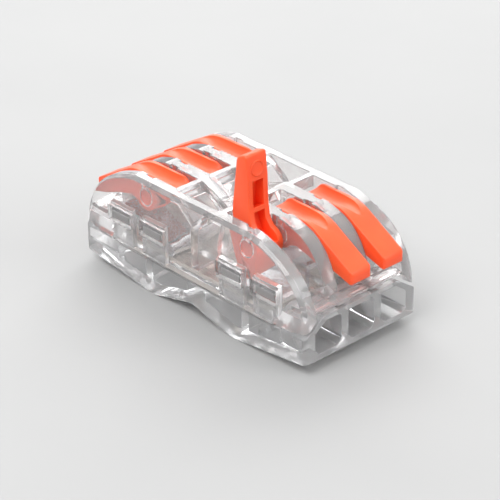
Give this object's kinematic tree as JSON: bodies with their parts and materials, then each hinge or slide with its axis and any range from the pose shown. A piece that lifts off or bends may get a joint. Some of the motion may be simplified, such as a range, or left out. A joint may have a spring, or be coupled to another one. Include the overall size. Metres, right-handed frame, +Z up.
{
  "type": "lever wire connector",
  "caption": "Double-ended inline lever wire connector with a clear two-part housing, side-by-side wire ports at both ends and orange clamp levers on top.",
  "frame": {"origin": "middle of the connector's footprint, on the surface that it rests on", "axes": "+X along the connector towards port end a, the end with the raised lever; +Y across the poles, away from that lever; +Z up, out of the lever side"},
  "size_m": [0.041, 0.019, 0.024],
  "materials": {
    "clear_cover": "polished clear polycarbonate",
    "clear_base": "clear polycarbonate, slightly hazy",
    "orange_lever": "satin moulded orange",
    "tinned_copper": "satin tin plate",
    "spring_steel": "rolled stainless strip"
  },
  "bodies": {
    "housing": {"cover": "clear_cover", "base": "clear_base", "busbar_1": "tinned_copper", "busbar_2": "tinned_copper", "busbar_3": "tinned_copper", "clamp_spring_a1": "spring_steel", "clamp_spring_a2": "spring_steel", "clamp_spring_a3": "spring_steel", "clamp_spring_b1": "spring_steel", "clamp_spring_b2": "spring_steel", "clamp_spring_b3": "spring_steel"},
    "lever_a1": {"lever_a1": "orange_lever"},
    "cage_a1": {"clamp_cage_a1": "spring_steel"},
    "lever_a2": {"lever_a2": "orange_lever"},
    "cage_a2": {"clamp_cage_a2": "spring_steel"},
    "lever_a3": {"lever_a3": "orange_lever"},
    "cage_a3": {"clamp_cage_a3": "spring_steel"},
    "lever_b1": {"lever_b1": "orange_lever"},
    "cage_b1": {"clamp_cage_b1": "spring_steel"},
    "lever_b2": {"lever_b2": "orange_lever"},
    "cage_b2": {"clamp_cage_b2": "spring_steel"},
    "lever_b3": {"lever_b3": "orange_lever"},
    "cage_b3": {"clamp_cage_b3": "spring_steel"}
  },
  "joints": [
    {"name": "lever_a1_pivot", "type": "hinge", "parent": "housing", "child": "lever_a1", "pos_m": [0.00925, -0.0055, 0.0125], "axis": [0, -1, 0], "range_deg": [-112, 0]},
    {"name": "cage_a1_flex", "type": "hinge", "parent": "housing", "child": "cage_a1", "pos_m": [0.005, -0.0055, 0.00685], "axis": [0, 1, 0], "range_deg": [-16.3, 0]},
    {"name": "lever_a2_pivot", "type": "hinge", "parent": "housing", "child": "lever_a2", "pos_m": [0.00925, 0, 0.0125], "axis": [0, -1, 0], "range_deg": [0, 112]},
    {"name": "cage_a2_flex", "type": "hinge", "parent": "housing", "child": "cage_a2", "pos_m": [0.005, 0, 0.00685], "axis": [0, 1, 0], "range_deg": [0, 16.3]},
    {"name": "lever_a3_pivot", "type": "hinge", "parent": "housing", "child": "lever_a3", "pos_m": [0.00925, 0.0055, 0.0125], "axis": [0, -1, 0], "range_deg": [0, 112]},
    {"name": "cage_a3_flex", "type": "hinge", "parent": "housing", "child": "cage_a3", "pos_m": [0.005, 0.0055, 0.00685], "axis": [0, 1, 0], "range_deg": [0, 16.3]},
    {"name": "lever_b1_pivot", "type": "hinge", "parent": "housing", "child": "lever_b1", "pos_m": [-0.00925, -0.0055, 0.0125], "axis": [0, 1, 0], "range_deg": [0, 112]},
    {"name": "cage_b1_flex", "type": "hinge", "parent": "housing", "child": "cage_b1", "pos_m": [-0.005, -0.0055, 0.00685], "axis": [0, -1, 0], "range_deg": [0, 16.3]},
    {"name": "lever_b2_pivot", "type": "hinge", "parent": "housing", "child": "lever_b2", "pos_m": [-0.00925, 0, 0.0125], "axis": [0, 1, 0], "range_deg": [0, 112]},
    {"name": "cage_b2_flex", "type": "hinge", "parent": "housing", "child": "cage_b2", "pos_m": [-0.005, 0, 0.00685], "axis": [0, -1, 0], "range_deg": [0, 16.3]},
    {"name": "lever_b3_pivot", "type": "hinge", "parent": "housing", "child": "lever_b3", "pos_m": [-0.00925, 0.0055, 0.0125], "axis": [0, 1, 0], "range_deg": [0, 112]},
    {"name": "cage_b3_flex", "type": "hinge", "parent": "housing", "child": "cage_b3", "pos_m": [-0.005, 0.0055, 0.00685], "axis": [0, -1, 0], "range_deg": [0, 16.3]}
  ],
  "couplings": [
    {"joint": "cage_a1_flex", "follows": "lever_a1_pivot", "ratio": 0.14553},
    {"joint": "cage_a2_flex", "follows": "lever_a2_pivot", "ratio": 0.14553},
    {"joint": "cage_a3_flex", "follows": "lever_a3_pivot", "ratio": 0.14553},
    {"joint": "cage_b1_flex", "follows": "lever_b1_pivot", "ratio": 0.14553},
    {"joint": "cage_b2_flex", "follows": "lever_b2_pivot", "ratio": 0.14553},
    {"joint": "cage_b3_flex", "follows": "lever_b3_pivot", "ratio": 0.14553}
  ]
}
